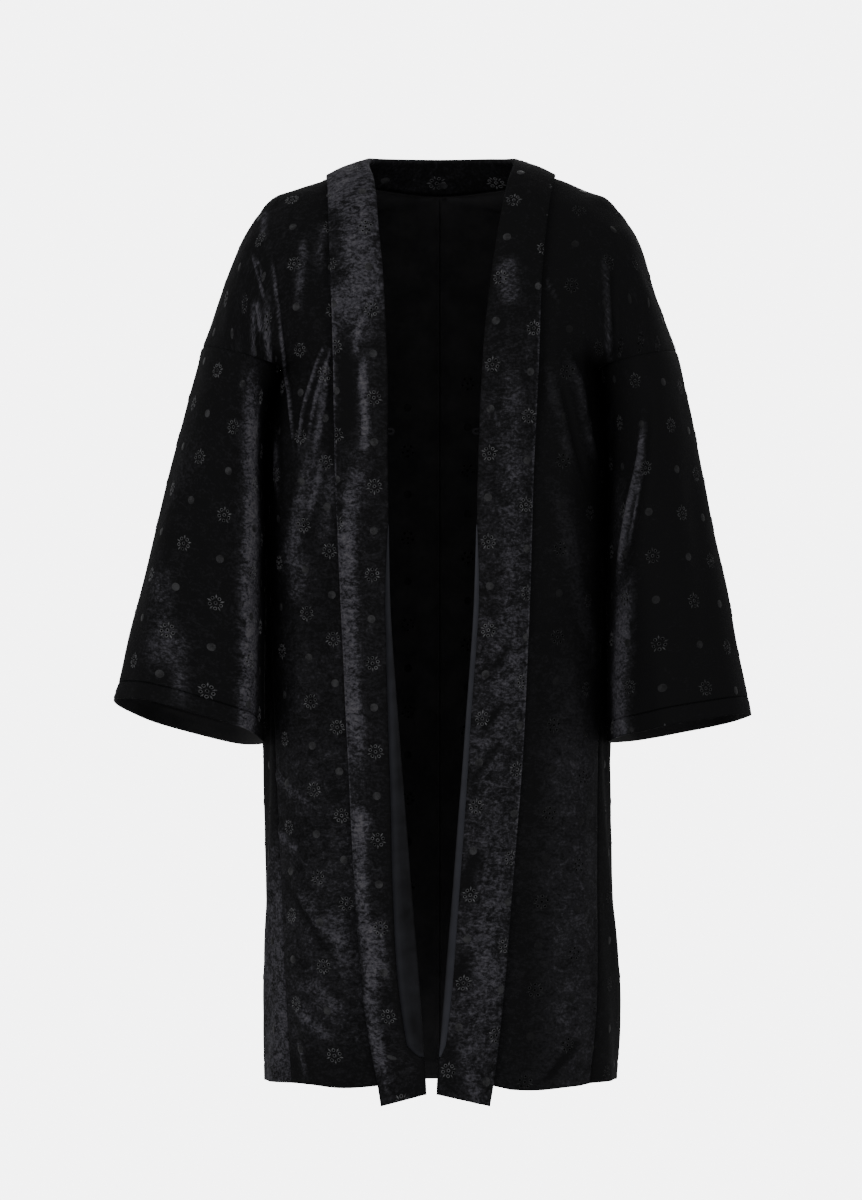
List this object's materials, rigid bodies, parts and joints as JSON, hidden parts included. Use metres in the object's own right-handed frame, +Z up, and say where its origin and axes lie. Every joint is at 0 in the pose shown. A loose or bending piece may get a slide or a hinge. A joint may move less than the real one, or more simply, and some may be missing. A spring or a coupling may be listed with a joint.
{
  "type": "haori jacket",
  "caption": "Long open haori jacket in dark patterned velvet with a collar folded outwards from hem to hem, straight tube sleeves, side gussets and small tie loops, worn hollow and open.",
  "frame": {"origin": "midway between the two points where the neck meets the shoulders, which carry the garment", "axes": "+Z up, the garment's front faces -Y, the wearer's left is +X"},
  "size_m": [0.639, 0.2468, 0.9487],
  "materials": {
    "body_right": "black crushed velvet with openwork eyelet flowers and stitched dots",
    "sleeve_right": "black crushed velvet with openwork eyelet flowers and stitched dots",
    "gusset_right": "black crushed velvet",
    "collar_facing_right": "plain smooth dark cloth with a slight sheen",
    "tie_loop_right": "black twisted cord",
    "body_left": "black crushed velvet with openwork eyelet flowers and stitched dots",
    "sleeve_left": "black crushed velvet with openwork eyelet flowers and stitched dots",
    "gusset_left": "black crushed velvet",
    "collar_facing_left": "plain smooth dark cloth with a slight sheen",
    "tie_loop_left": "black twisted cord",
    "collar": "black crushed velvet with openwork eyelet flowers and stitched dots"
  },
  "bodies": {
    "root": {"body_right": "body_right", "sleeve_right": "sleeve_right", "gusset_right": "gusset_right", "collar_facing_right": "collar_facing_right", "tie_loop_right": "tie_loop_right", "body_left": "body_left", "sleeve_left": "sleeve_left", "gusset_left": "gusset_left", "collar_facing_left": "collar_facing_left", "tie_loop_left": "tie_loop_left", "collar": "collar"}
  },
  "joints": []
}
